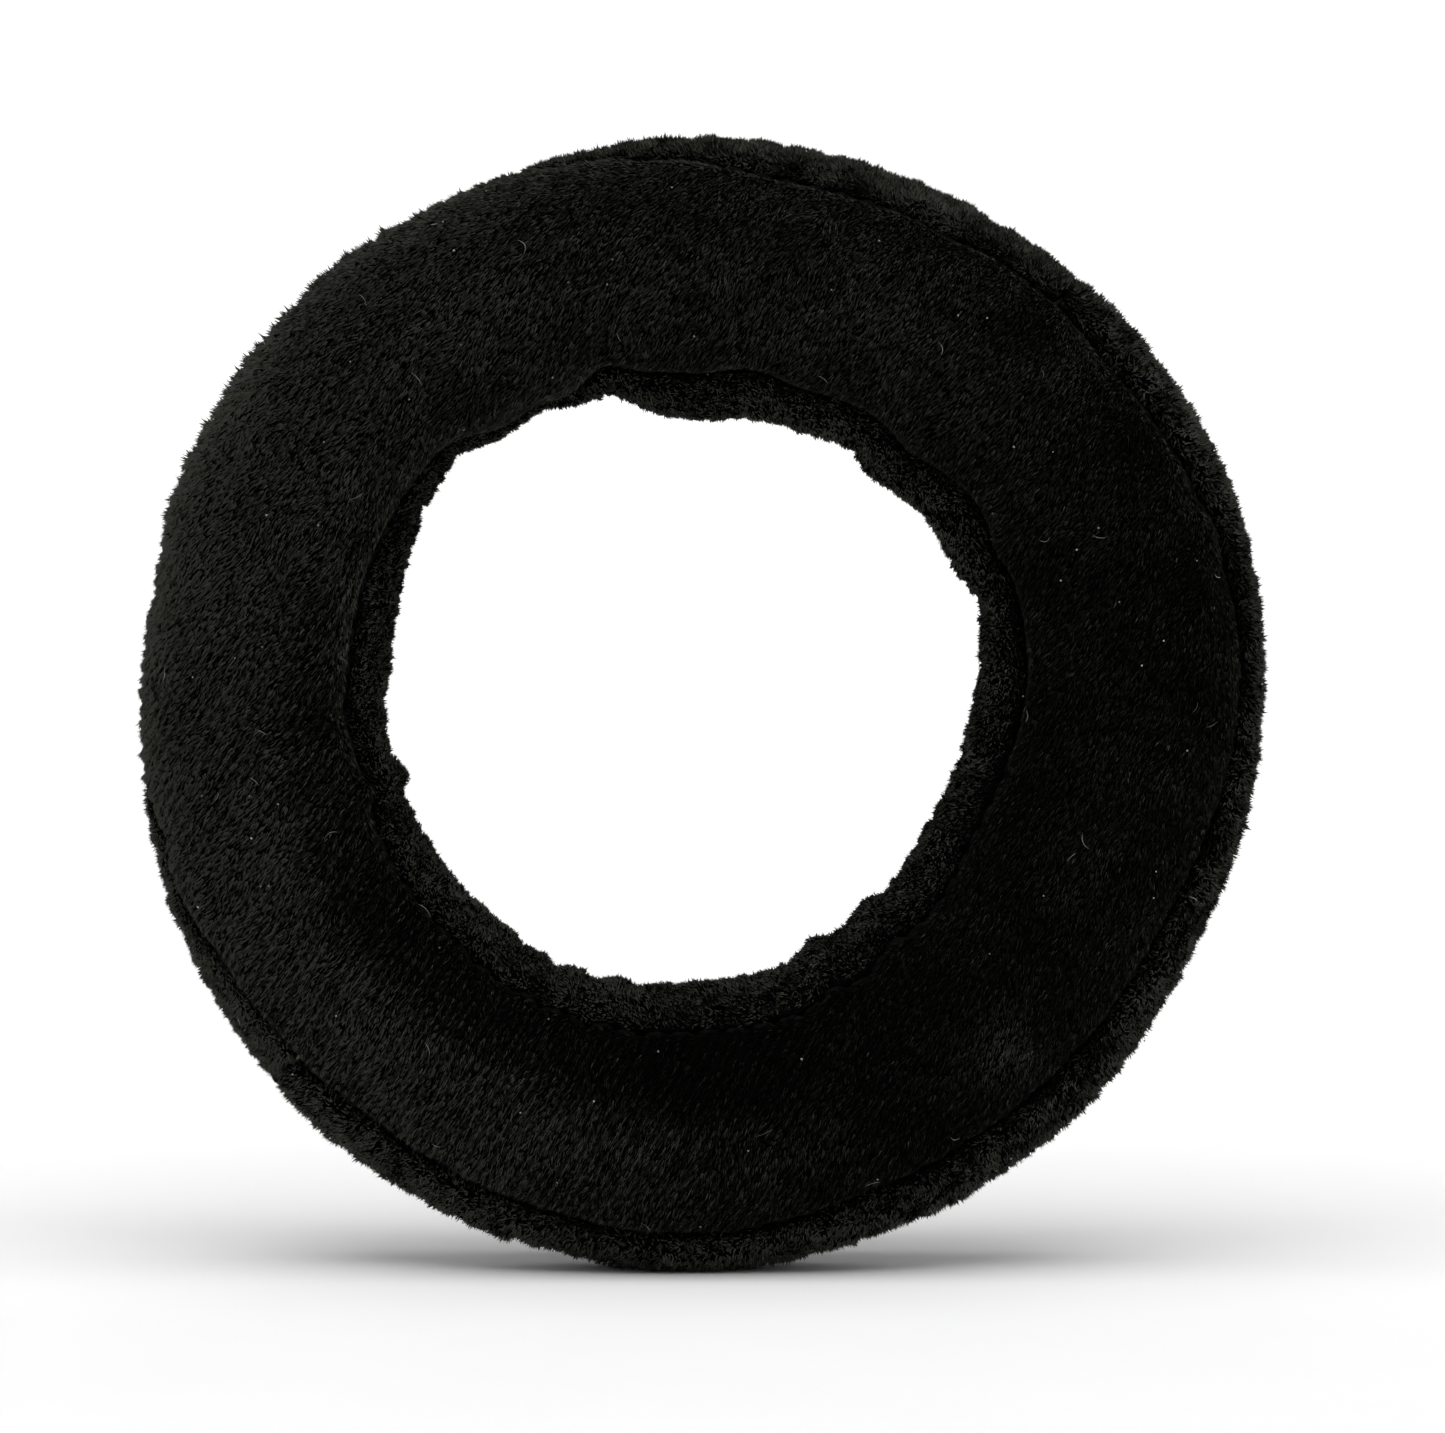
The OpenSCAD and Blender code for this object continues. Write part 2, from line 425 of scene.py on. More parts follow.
def catmull_round(values, count):
    """Catmull-Rom interpolation along a closed axis 0."""
    pad = 3
    v = np.concatenate([values[-pad:], values, values[:pad]])
    at = np.arange(count) * len(values) / count + pad
    return catmull(v, at)


def unit(v):
    """Vectors scaled to length 1."""
    return v / np.maximum(np.linalg.norm(v, axis=-1), 1e-9)[..., None]


class Surface:
    """A stretch of the cover: a grid of points that runs round the ring and then across it."""

    def __init__(self, points, degrees, closed):
        self.points = points
        self.degrees = degrees
        self.closed = closed
        self.measure()

    def measure(self):
        """Works out normals and the directions along and across."""
        if self.closed:
            along = np.roll(self.points, -1, 0) - np.roll(self.points, 1, 0)
        else:
            along = np.gradient(self.points, axis=0)
        across = np.gradient(self.points, axis=1)
        self.along = unit(along)
        self.normals = unit(np.cross(along, across))

    def push(self, height):
        """Moves every point along its normal."""
        self.points = self.points + self.normals * height[..., None]
        self.measure()

    def stretch(self, start, end):
        """The part of a closed surface between two angles, as an open one."""
        step = 360 / len(self.degrees)
        index = np.arange(math.ceil(start / step), math.floor(end / step) + 1)
        turned = index % len(self.degrees)
        return Surface(self.points[turned], index * step, False)

    def seam_distance(self):
        """How far each point is from the nearer sewn edge, across the cloth."""
        step = np.linalg.norm(np.diff(self.points, axis=1), axis=2)
        run = np.concatenate([np.zeros((len(step), 1)), np.cumsum(step, 1)], 1)
        return np.minimum(run, run[:, -1:] - run)


def zone_surface(grid, zone):
    """One zone of the cover as a fine, smooth surface."""
    names = list(ZONES)
    start = sum(ZONES[n] for n in names[: names.index(zone)])
    columns = np.arange(start, start + ZONES[zone] + 1) % grid.shape[1]
    round_it = catmull_round(grid[:, columns], FINE_ROUND)
    at = np.linspace(0, ZONES[zone], FINE_ACROSS[zone] + 1)
    fine = catmull(round_it.transpose(1, 0, 2), at).transpose(1, 0, 2)
    return Surface(fine, np.arange(FINE_ROUND) * 360 / FINE_ROUND, True)


def pressed_on_floor(points, lowest):
    """Points that the floor stops, eased so that the cloth rounds off into its flat."""
    out = points.copy()
    over = points[..., 2] - lowest
    out[..., 2] = lowest + FLOOR_EASE * np.logaddexp(0, over / FLOOR_EASE)
    return out


# ---------------- nodes of the materials

# The values of the noise at which a colour is all dark and all light
RAMP_ENDS = (0.35, 0.65)


def new_material(name, colour, roughness, sheen=0.0, specular=0.3):
    """A material and its shader, with the values that are the same all over set on its sockets."""
    material = bpy.data.materials.new(name)
    material.use_nodes = True
    shader = material.node_tree.nodes["Principled BSDF"]
    shader.inputs["Base Color"].default_value = (*colour, 1)
    shader.inputs["Roughness"].default_value = roughness
    shader.inputs["Specular IOR Level"].default_value = specular
    shader.inputs["Sheen Weight"].default_value = sheen
    shader.inputs["Sheen Roughness"].default_value = 0.45
    return material, shader


def add_node(material, kind, **values):
    """A node of a material, with the constant values of its inputs by name."""
    node = material.node_tree.nodes.new(kind)
    for key, value in values.items():
        node.inputs[key].default_value = value
    return node


def join(material, output, socket):
    """Links two nodes of a material."""
    material.node_tree.links.new(output, socket)


def noise_output(material, scale, detail):
    """The output of a noise texture in the object's own coordinates, with its scale per metre."""
    where = add_node(material, "ShaderNodeTexCoord")
    lumps = add_node(material, "ShaderNodeTexNoise", Scale=scale, Detail=detail)
    join(material, where.outputs["Object"], lumps.inputs["Vector"])
    return lumps.outputs["Fac"]


def noise_colour(material, shader, scale, dark, light):
    """Drives a shader's colour with noise between two colours."""
    ramp = add_node(material, "ShaderNodeValToRGB")
    for element, position, colour in zip(ramp.color_ramp.elements, RAMP_ENDS, (dark, light)):
        element.position = position
        element.color = (*colour, 1)
    join(material, noise_output(material, scale, detail=4), ramp.inputs["Fac"])
    join(material, ramp.outputs["Color"], shader.inputs["Base Color"])


def noise_bump(material, shader, scale, depth):
    """Adds fine relief from noise, with its depth in metres."""
    bump = add_node(material, "ShaderNodeBump", Strength=1.0, Distance=depth)
    join(material, noise_output(material, scale, detail=6), bump.inputs["Height"])
    join(material, bump.outputs["Normal"], shader.inputs["Normal"])


def backing_material(name):
    """The knitted ground of the plush, seen only between the tufts."""
    material, shader = new_material(name, (0.001, 0.001, 0.001), 0.95, specular=0.0)
    noise_colour(material, shader, 900, (0.0005, 0.0005, 0.0005), (0.002, 0.002, 0.002))
    noise_bump(material, shader, 2500, 0.0003)
    return material


# The black leans a little towards olive
FIBRE_TINT = (0.97, 1.0, 0.8)


def fibre_materials(name, tones):
    """One material for each tone of the pile, darkest first, with uneven gloss along the fibres."""
    made = []
    for k, tone in enumerate(tones):
        colour = [tone * share for share in FIBRE_TINT]
        title = f"{name}_{k + 1}"
        material, shader = new_material(title, colour, 0.6, sheen=tone, specular=2 * tone)
        spread = add_node(material, "ShaderNodeMapRange", **{"To Min": 0.45, "To Max": 0.85})
        gloss = noise_output(material, scale=1500, detail=3)
        join(material, gloss, spread.inputs["Value"])
        join(material, spread.outputs["Result"], shader.inputs["Roughness"])
        made.append(material)
    return made


def thread_material(name, dark, light):
    """Twisted sewing thread."""
    material, shader = new_material(name, dark, 0.6, specular=0.02)
    noise_colour(material, shader, 1800, dark, light)
    noise_bump(material, shader, 6000, 0.0001)
    return material


def foam_material(name):
    """Soft open foam."""
    material, shader = new_material(name, (0.8, 0.78, 0.72), 0.95)
    noise_colour(material, shader, 700, (0.62, 0.6, 0.52), (0.84, 0.82, 0.76))
    noise_bump(material, shader, 2200, 0.0006)
    return material


def elastic_material(name):
    """Ribbed knitted elastic: bands of cord that run along it."""
    material, shader = new_material(name, (0.03, 0.03, 0.032), 0.85, sheen=0.15)
    noise_colour(material, shader, 1200, (0.02, 0.02, 0.021), (0.05, 0.05, 0.053))
    noise_bump(material, shader, 4000, 0.0002)
    return material


# ---------------- pieces of plush cloth

CLOTH_T = 0.55
# The cloth keeps every second point of its fine surface, each way
CLOTH_STEP = 2


def cloth_piece(node, surface, material):
    """A piece of cloth with real thickness, which stands for one CAD node."""
    points = surface.points[::CLOTH_STEP, ::CLOTH_STEP]
    normals = surface.normals[::CLOTH_STEP, ::CLOTH_STEP]
    inner = points - normals * CLOTH_T
    loop = np.concatenate([points, inner[:, ::-1]], 1)
    loop = pressed_on_floor(loop, FLOOR_GAP)
    rows, columns = loop.shape[:2]
    faces = grid_faces(rows, columns, surface.closed, True)
    if not surface.closed:
        faces = np.concatenate([faces, end_cap(0, columns)[:, ::-1], end_cap(rows - 1, columns)])
    obj = make_object(node + "_cloth", loop.reshape(-1, 3), faces, [material])
    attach(obj, "cover")
    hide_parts(node)


def end_cap(row, columns):
    """Quads that close the end of a cloth whose section is a flat loop."""
    half = columns // 2
    j = np.arange(half - 1)
    start = row * columns
    return np.stack([start + j + 1, start + j, start + columns - 1 - j, start + columns - 2 - j], 1)


# ---------------- pile

# The tips of the pile stay this far above the floor
TIP_GAP = 0.03
# (angle, how far the pile stands up where it comes over the ring's outer edge)
RAGGED = [
    (0, 0.3), (60, 0.4), (100, 0.5), (128, 0.8), (150, 0.8), (170, 0.5), (200, 0.35), (300, 0.25),
]
RAGGED_REACH = 0.6
# How much steeper and longer the pile is where it stands up there
RAGGED_LEAN = 55
RAGGED_LENGTH = 0.5
# The pile sways together over patches of this size
SWAY_WAVE = 2.4
# The spread, in degrees, at which the sway is as strong as the nap
FULL_SWAY = 40
# The sizes of its locks, and how strongly they are drawn out along the nap
LOCK_WAVE = 0.36
LOCK_GROUP_WAVE = 1.3
LOCK_SQUEEZE = 0.62
# How much of the pattern is single locks, and not groups of them
LOCK_SHARE = 0.75
# How much longer and steeper the tufts are at the top of a lock
LOCK_LENGTH = 0.30
LOCK_LEAN = 12
TUFTS = 49000
# The cloth this near its sewn edge has no pile
BARE_EDGE = 0.2
# How much single tufts differ in length, width, lean and tone
LENGTH_SPREAD = 0.14
WIDTH_SPREAD = 0.2
LEAN_SPREAD = 6
TONE_SPREAD = 0.9
LEAST_LEAN = 6
MOST_LEAN = 85
# How deep a tuft is rooted, and where its shoulder is
ROOT_DEPTH = 0.12
SHOULDER_RISE = 0.7
SHOULDER_RUN = 0.25
TUFT_FACES = np.array([[0, 2, 3], [2, 1, 3], [1, 0, 3], [0, 1, 2]])


def inside_outline(points, degrees):
    """How far points lie inside the ring's outline, seen from the front."""
    return np.maximum(RIM_R - PILE_H + around(RIM_SHAPE, degrees) - from_axis(points), 0)


@dataclass
class Pile:
    """How a patch of pile grows. Lengths are in millimetres and angles in degrees."""

    length: float
    width: float
    lean: float
    spread: float
    # (angle, how far the painted shade beside its seams reaches)
    seam_shade: list
    contrast: float = 0.7
    ruffled: float = 0


def scatter(surface, count, bare_edge, rng):
    """Random places on a surface, evenly by area: points, normals, directions along the ring,
    angles and distances from the sewn edge."""
    points, normals, along = surface.points, surface.normals, surface.along
    degrees = surface.degrees
    distance = surface.seam_distance()
    if surface.closed:
        points, normals, along, distance = (
            np.concatenate([a, a[:1]]) for a in (points, normals, along, distance)
        )
        degrees = np.append(degrees, 360.0)
    a, b, c = points[:-1, :-1], points[1:, :-1], points[:-1, 1:]
    area = np.linalg.norm(np.cross(b - a, c - a), axis=2)
    area = area * (distance[:-1, :-1] > bare_edge)
    cell = rng.choice(area.size, count, p=area.ravel() / area.sum())
    i, j = np.divmod(cell, area.shape[1])
    s, t = rng.random((2, count))
    weights = ((1 - s) * (1 - t), s * (1 - t), (1 - s) * t, s * t)

    def mix(values):
        corners = (values[i, j], values[i + 1, j], values[i, j + 1], values[i + 1, j + 1])
        return sum(w[:, None] * v for w, v in zip(weights, corners))

    angle = degrees[i] + s * (degrees[1] - degrees[0])
    edge = mix(distance[..., None])[:, 0]
    return mix(points), unit(mix(normals)), unit(mix(along)), angle, edge


def flattened(v, normal):
    """Vectors without the part of them that stands off the cloth."""
    return v - normal * np.sum(v * normal, 1)[:, None]


def turned(v, axis, degrees):
    """Vectors turned about unit axes that they are square to."""
    a = np.radians(degrees)[:, None]
    return v * np.cos(a) + np.cross(axis, v) * np.sin(a)


def tuft_points(root, normal, nap, length, width, lean):
    """Four corners of each tuft: two on the cloth, a shoulder above them and the tip."""
    side = np.cross(normal, nap)
    a = np.radians(lean)[:, None]
    grow = nap * np.cos(a) + normal * np.sin(a)
    length, width = length[:, None], width[:, None]
    foot = root - normal * ROOT_DEPTH
    left = foot - side * width / 2
    right = foot + side * width / 2
    rise = ROOT_DEPTH + width * SHOULDER_RISE
    shoulder = foot + normal * rise + nap * length * SHOULDER_RUN
    tip = foot + grow * length
    return np.stack([left, right, shoulder, tip], 1)


def locks(root, nap):
    """Where the pile draws together into locks, from -1 to 1. The locks are long along the nap."""
    squeezed = root - LOCK_SQUEEZE * nap * np.sum(root * nap, 1)[:, None]
    single, group = noise(squeezed, LOCK_WAVE, 3), noise(root, LOCK_GROUP_WAVE, 2)
    return LOCK_SHARE * single + (1 - LOCK_SHARE) * group


def grow_pile(name, surface, pile, nap_direction, materials, tone, rng):
    """A piece of pile: closed slivers that lie along the nap, in locks, in several tones that carry
    painted light and shade.
    """
    root, normal, along, degrees, edge = scatter(surface, TUFTS, BARE_EDGE, rng)
    nap = unit(flattened(nap_direction(along, degrees), normal))
    sway = flattened(np.stack([noise(root, SWAY_WAVE, k) for k in range(3)], -1), normal)
    nap = unit(nap + pile.spread / FULL_SWAY * sway)
    lock = locks(root, nap)
    nap = turned(nap, normal, rng.normal(0, pile.spread / 2, TUFTS))
    size = 1 + LOCK_LENGTH * lock + rng.normal(0, LENGTH_SPREAD, TUFTS)
    size = np.clip(size, 0.4, 1.6) * np.clip(0.5 + edge, 0, 1)
    width = pile.width * np.clip(rng.normal(1, WIDTH_SPREAD, TUFTS), 0.5, 1.6)
    ruffled = pile.ruffled * rng.random(TUFTS) ** 4
    ragged = np.exp(-inside_outline(root, degrees) / RAGGED_REACH) * rng.random(TUFTS)
    ragged *= around(RAGGED, degrees)
    size *= 1 + RAGGED_LENGTH * ragged ** 2
    lean = pile.lean + LOCK_LEAN * lock + ruffled + RAGGED_LEAN * ragged
    lean = np.clip(lean + rng.normal(0, LEAN_SPREAD, TUFTS), LEAST_LEAN, MOST_LEAN)
    corners = tuft_points(root, normal, nap, pile.length * size, width, lean)
    corners[..., 2] = np.maximum(corners[..., 2], TIP_GAP)
    faces = (np.arange(TUFTS)[:, None, None] * 4 + TUFT_FACES).reshape(-1, 3)
    # Tones with the painted light and shade of the tone function
    shade = tone(root, degrees) + pile.contrast * lock + rng.normal(0, TONE_SPREAD, TUFTS)
    # Painted shade in the groove beside each sewn edge
    shade = shade - SEAM_PAINTED_SHADE * np.exp(-((edge / around(pile.seam_shade, degrees)) ** 2))
    slots = np.clip(np.round(shade), 0, len(materials) - 1).astype(int)
    face_slots = np.repeat(slots, len(TUFT_FACES))
    obj = make_object(name, corners.reshape(-1, 3), faces, materials, face_slots, smooth=False)
    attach(obj, "cover")


def plane_nap(angles):
    """Nap that lies in the ring's plane, at an angle that changes round the ring."""
    return lambda along, degrees: on_ring(around(angles, degrees))


def ring_nap(share_along, to_front):
    """Nap that lies along the ring and leans to the front or, below zero, to the back."""
    return lambda along, degrees: along * share_along + TO_FRONT * to_front


# ---------------- the pile's direction, and its tones with painted light and shade

# (angle, the way that the pile lies, in degrees up from +X)
NAP_FRONT = [
    (0, 240), (45, 232), (90, 236), (150, 228), (200, 232), (235, 239), (270, 246), (320, 246),
]
NAP_BACK = [(0, 250), (90, 255), (180, 245), (270, 258)]

# The pile's tones. Each step up is twice as light.
DARKEST = 0.0016
TONES = 6
FIBRE_TONES = [DARKEST * 2**k for k in range(TONES)]

# (angle, tone) round the middle of the front face, with painted light and shade:
# lighter at the left, darker at the right
FACE_TONE = [
    (0, 2.1), (20, 2.2), (40, 2.6), (62, 3.1), (90, 3.3), (120, 3.6), (150, 3.9), (180, 3.8),
    (205, 4.0), (225, 4.1), (242, 4.0), (260, 3.5), (276, 2.5), (296, 1.9), (318, 2.0), (340, 2.1),
]
# (angle, how much lighter the outer part of the face is than its middle):
# painted light on the outer slope, strongest at the left
OUTER_PAINTED_LIGHT = [(0, 0.1), (90, 0.1), (125, 0.2), (155, 0.7), (180, 0.6), (210, 0.2), (270, 0.0)]
# Distances from the ring's axis over which the painted light grows
OUTER_FROM = 38
OUTER_TO = 46
# (angle, how much darker the pile is painted on the slope down to the hole): painted shade
SLOPE_PAINTED_SHADE = [
    (0, 0.1), (60, 0.3), (100, 0.4), (140, 0.5), (168, 0.6), (185, 1.2), (205, 1.9), (225, 2.4),
    (250, 2.6), (275, 2.1), (300, 0.6), (330, 0.4),
]
# (angle, distance of the face's ridge from the middle of the ring); the slope's painted shade lies
# inside it
RIDGE = [(0, 36), (90, 34), (150, 36), (205, 36.6), (228, 35.8), (250, 35.0), (290, 36.0)]
RIDGE_SOFTNESS = 0.9
# (angle, distance from the middle, how far it reaches each way, how much lighter or darker) of patches
# of pile.
# The dark patches on the outer face at the right and the upper right are painted shade.
TONE_AND_SHADE_PATCHES = [
    (312, 39.8, 3.2, 2.2), (299, 42.8, 1.8, -0.5), (296, 37.5, 4.0, -0.5), (333, 34.4, 1.8, 0.7),
    (32, 44.5, 3.5, -1.2), (50, 44.0, 3.2, -0.9), (66, 44.8, 2.5, -0.6), (14, 43.5, 3.5, -0.9),
    (62, 37.5, 4.0, 0.3), (79, 40.5, 3.6, -0.5), (97, 35.0, 3.0, 0.4), (1, 44.0, 3.5, -0.8),
    (10, 32.0, 3.5, 0.5), (346, 42.5, 2.5, -0.6), (82, 33.0, 3.5, 0.4), (166, 37.0, 3.5, -0.8),
    (181, 33.5, 2.5, -0.5), (315, 36.5, 1.8, 0.6), (330, 33.5, 3.0, -0.5),
]
# (angle, tone) of the rim strips, the inner band and the back. The rim strips' and the band's tones
# round the ring
# are painted light and shade: the rim is lighter at the left and the bottom and darker at the right and
# the top, the band lighter at the top and at the lower left.
RIM_TONE = [
    (0, 3.3), (40, 3.6), (60, 3.3), (80, 3.4), (100, 3.3), (130, 3.6), (152, 4.0), (180, 4.3),
    (205, 4.3), (230, 4.4), (250, 4.4), (270, 4.4), (290, 3.9), (320, 3.4),
]
BAND_TONE = [
    (0, 3.5), (40, 4.2), (70, 4.7), (100, 4.3), (130, 3.4), (160, 3.6), (190, 4.0), (215, 4.5),
    (250, 4.4), (285, 3.6), (330, 3.4),
]
BACK_TONE = [(0, 3.0), (180, 2.8)]
# (size, channel of the noise, strength) of the uneven patches on all the pile
MOTTLE = [(9.0, 1, 0.45), (3.0, 2, 0.3)]
# How strongly light and dark blotches show on the rim strips and on the inner band
RIM_BLOTCHES = 1.3
BAND_BLOTCHES = 0.9
BLOTCH_WAVE = 1.5
# (angle, how much lighter the pile is painted along the ring's outer edge): a painted sheen
PAINTED_EDGE_SHEEN = [
    (0, 0.6), (60, 0.4), (100, 0.6), (135, 1.0), (160, 1.6), (182, 2.3), (210, 1.7), (250, 0.9),
    (300, 0.8),
]
PAINTED_SHEEN_REACH = 0.9
PAINTED_SHEEN_WAVE = 0.5
# (angle, how strongly the rows of the knit show on the front face, as bands of painted light and shade)
ROW_SHADE = [(0, 0.2), (90, 0.1), (150, 0.5), (200, 0.9), (240, 1.0), (275, 0.8), (310, 0.3)]
# The way the rows run, in degrees up from +X, how far apart they are and how far they stray
ROW_ANGLE = 58
ROW_PITCH = 0.8
ROW_SWAY = 0.5
ROW_SWAY_WAVE = 6.0
# (angle, how far the painted shade of a seam's groove reaches into the cloth beside it)
FACE_SEAM_SHADE = [(0, 0.4), (45, 0.4), (90, 0.25), (140, 0.3), (180, 0.3), (225, 0.5), (270, 0.5)]
RIM_SEAM_SHADE = [(0, 0.5), (45, 0.5), (90, 0.3), (140, 0.3), (180, 0.3), (225, 0.5), (270, 0.6)]
BAND_SEAM_SHADE = [
    (0, 1.0), (40, 1.2), (75, 0.9), (98, 0.6), (115, 0.4), (180, 0.5), (250, 0.4), (330, 0.8),
]
# How many tones darker the painted shade is there
SEAM_PAINTED_SHADE = 3.0

FACE_PILE = Pile(length=0.62, width=0.16, lean=26, spread=13, seam_shade=FACE_SEAM_SHADE)
RIM_PILE = Pile(
    length=0.58, width=0.17, lean=36, spread=60, seam_shade=RIM_SEAM_SHADE, contrast=1.5, ruffled=60
)
BAND_PILE = Pile(
    length=0.50, width=0.16, lean=36, spread=55, seam_shade=BAND_SEAM_SHADE, contrast=1.3, ruffled=55
)


def mottled(root):
    """Uneven tone in patches of several sizes."""
    return sum(strength * noise(root, size, channel) for size, channel, strength in MOTTLE)


def painted_edge_sheen(root, degrees):
    """Painted sheen: the pile that stands out past the ring's edge is painted lighter, tuft by tuft."""
    tufts = 1 + noise(root, PAINTED_SHEEN_WAVE, 1)
    return around(PAINTED_EDGE_SHEEN, degrees) * tufts * np.exp(-inside_outline(root, degrees) / PAINTED_SHEEN_REACH)


def knit_rows(root):
    """Rows of the knit, side by side across the nap, from -1 to 1, shown in the pile as painted light
    and shade of their relief.
    """
    turn = math.radians(ROW_ANGLE)
    across = root[:, 0] * math.sin(turn) - root[:, 2] * math.cos(turn)
    sway = ROW_SWAY * noise(root, ROW_SWAY_WAVE, 0)
    return np.sin(2 * math.pi * (across + sway) / ROW_PITCH)


def face_tone(root, degrees):
    """Painted light and shade on the front face: lighter at the left, darker at the right and on the
    lower slope to the hole.
    """
    level = around(FACE_TONE, degrees) + mottled(root) + painted_edge_sheen(root, degrees)
    level = level + around(ROW_SHADE, degrees) * knit_rows(root)
    reach = from_axis(root)
    # Painted light on the outer part of the face, strongest at the left
    outer = np.clip((reach - OUTER_FROM) / (OUTER_TO - OUTER_FROM), 0, 1)
    level = level + around(OUTER_PAINTED_LIGHT, degrees) * outer
    # Painted shade on the slope inside the ridge, down to the hole
    slope_shade_mask = 1 / (1 + np.exp((reach - around(RIDGE, degrees)) / RIDGE_SOFTNESS))
    level = level - around(SLOPE_PAINTED_SHADE, degrees) * slope_shade_mask
    # Lighter and darker patches of pile; the dark ones at the right of the outer face are painted shade
    for angle, distance, spread, change in TONE_AND_SHADE_PATCHES:
        middle = FORM_CENTRE + on_ring(np.array(angle)) * distance
        away = np.linalg.norm((root - middle)[:, [0, 2]], axis=1)
        level = level + change * np.exp(-((away / spread) ** 2))
    return level


def ring_tone(levels, blotches):
    """A tone that changes round the ring, with light and dark blotches and the painted sheen along the
    outer edge.
    """

    def tone(root, degrees):
        # For the rim strips and the band the change round the ring is painted light and shade
        level = around(levels, degrees) + mottled(root) + painted_edge_sheen(root, degrees)
        return level + blotches * noise(root, BLOTCH_WAVE, 0)

    return tone


# ---------------- build the cover

# How far from its seams a surface takes on its lumps, ribs and dips in full
LUMP_FADE = 1.5
RIB_FADE = 0.8
DIP_FADE = 1.2
# The sizes of the lumps and of the ribs
LUMP_WAVE = 9.0
SMALL_LUMP_WAVE = 2.2
RIB_WAVE = 0.48
# A rib's width as a share of its length across the strip
RIB_SLIMNESS = 0.2


def lumpy(surface, large, small):
    """Uneven filling under a surface, in large and small lumps that fade out at its seams."""
    fade = np.clip(surface.seam_distance() / LUMP_FADE, 0, 1)
    large_lumps = large * noise(surface.points, LUMP_WAVE, 0)
    small_lumps = small * noise(surface.points, SMALL_LUMP_WAVE, 1)
    surface.push(fade * (large_lumps + small_lumps))


def ribbed(surface, height, where=1.0):
    """Fine ribs across a strip, where the knit pulls its pile together into rows of locks."""
    fade = np.clip(surface.seam_distance() / RIB_FADE, 0, 1) * where
    drawn_out = surface.points * [1, RIB_SLIMNESS, 1]
    surface.push(fade * height * noise(drawn_out, RIB_WAVE, 3))


def grooved(surface, depth, half_width):
    """A narrow groove along each sewn edge, where the thread pulls the cloth in."""
    surface.push(-depth * np.exp(-((surface.seam_distance() / half_width) ** 2)))


def dipped(surface, middle, depth, half_width):
    """A valley across a strip where its ends are joined."""
    in_plane = surface.points[:, :, [0, 2]] - [0, CAD_CENTRE_Z]
    radius = np.linalg.norm(in_plane, axis=2).mean(1)
    arc = np.radians(angle_from(surface.degrees, middle)) * radius
    valley = -depth * np.exp(-((arc / half_width) ** 2))
    fade = np.clip(surface.seam_distance() / DIP_FADE, 0, 1)
    surface.push(valley[:, None] * fade)


# Half the gap between the ends of a strip, in degrees
JOIN_GAP = 0.12
# The ribs on the front face fade out this far in from the ring's edge
FRONT_RIB_REACH = 1.2

rng = np.random.default_rng(RANDOM_SEED)
slack, section_middles, section_across = slack_form()
slack = sunk_seams(slack, section_middles)
form = swell(slack)
form = fitted(form, slack, section_middles, section_across)

rim = zone_surface(form, "rim")
front = zone_surface(form, "front")
band = zone_surface(form, "band")
back = zone_surface(form, "back")

lumpy(front, large=0.30, small=0.10)
lumpy(back, large=0.30, small=0.10)
lumpy(rim, large=0.22, small=0.18)
lumpy(band, large=0.35, small=0.16)
ribbed(rim, height=0.30)
ribbed(band, height=0.26)
front_edge = np.exp(-inside_outline(front.points, front.degrees[:, None]) / FRONT_RIB_REACH)
ribbed(front, height=0.30, where=front_edge)
grooved(rim, depth=0.45, half_width=0.4)
grooved(front, depth=0.45, half_width=0.35)
grooved(band, depth=0.45, half_width=0.4)
grooved(back, depth=0.45, half_width=0.35)
dipped(rim, RIM_JOIN_HIGH, depth=0.2, half_width=0.7)
dipped(rim, RIM_JOIN_LOW, depth=0.5, half_width=0.7)
dipped(band, BAND_JOIN, depth=0.12, half_width=0.8)

rim_left = rim.stretch(RIM_JOIN_HIGH + JOIN_GAP, RIM_JOIN_LOW - JOIN_GAP)
rim_right = rim.stretch(RIM_JOIN_LOW + JOIN_GAP, RIM_JOIN_HIGH + 360 - JOIN_GAP)
band_strip = band.stretch(BAND_JOIN + 2 * JOIN_GAP, BAND_JOIN + 360 - 2 * JOIN_GAP)

front_nap, back_nap = plane_nap(NAP_FRONT), plane_nap(NAP_BACK)
left_nap, right_nap, band_nap = ring_nap(0.6, -0.5), ring_nap(-0.6, -0.5), ring_nap(-0.7, 0.5)
back_tone = ring_tone(BACK_TONE, 0)
rim_tone = ring_tone(RIM_TONE, RIM_BLOTCHES)
band_tone = ring_tone(BAND_TONE, BAND_BLOTCHES)
# (node, surface, slot, pile, nap, tone, layers of pile). The flat faces carry several layers.
parts = [
    ("front_panel", front, "face_plush", FACE_PILE, front_nap, face_tone, ["pile", "nap", "tips"]),
    ("back_panel", back, "face_plush", FACE_PILE, back_nap, back_tone, ["pile", "nap"]),
    ("rim_strip_left", rim_left, "rim_plush", RIM_PILE, left_nap, rim_tone, ["pile"]),
    ("rim_strip_right", rim_right, "rim_plush", RIM_PILE, right_nap, rim_tone, ["pile"]),
    ("inner_band", band_strip, "band_plush", BAND_PILE, band_nap, band_tone, ["pile"]),
]
backing = backing_material("plush_backing")
fibres = fibre_materials("plush_fibre", FIBRE_TONES)
for node, surface, slot_name, *rest in parts:
    cloth_piece(node, surface, backing)
for node, surface, slot_name, pile, nap_direction, tone, layers in parts:
    for layer in layers:
        name = f"{node}_{layer}"
        grow_pile(name, surface, pile, nap_direction, fibres, tone, rng)


# ---------------- lint

LINT_SPECKS = 70
LINT_FIBRES = 30
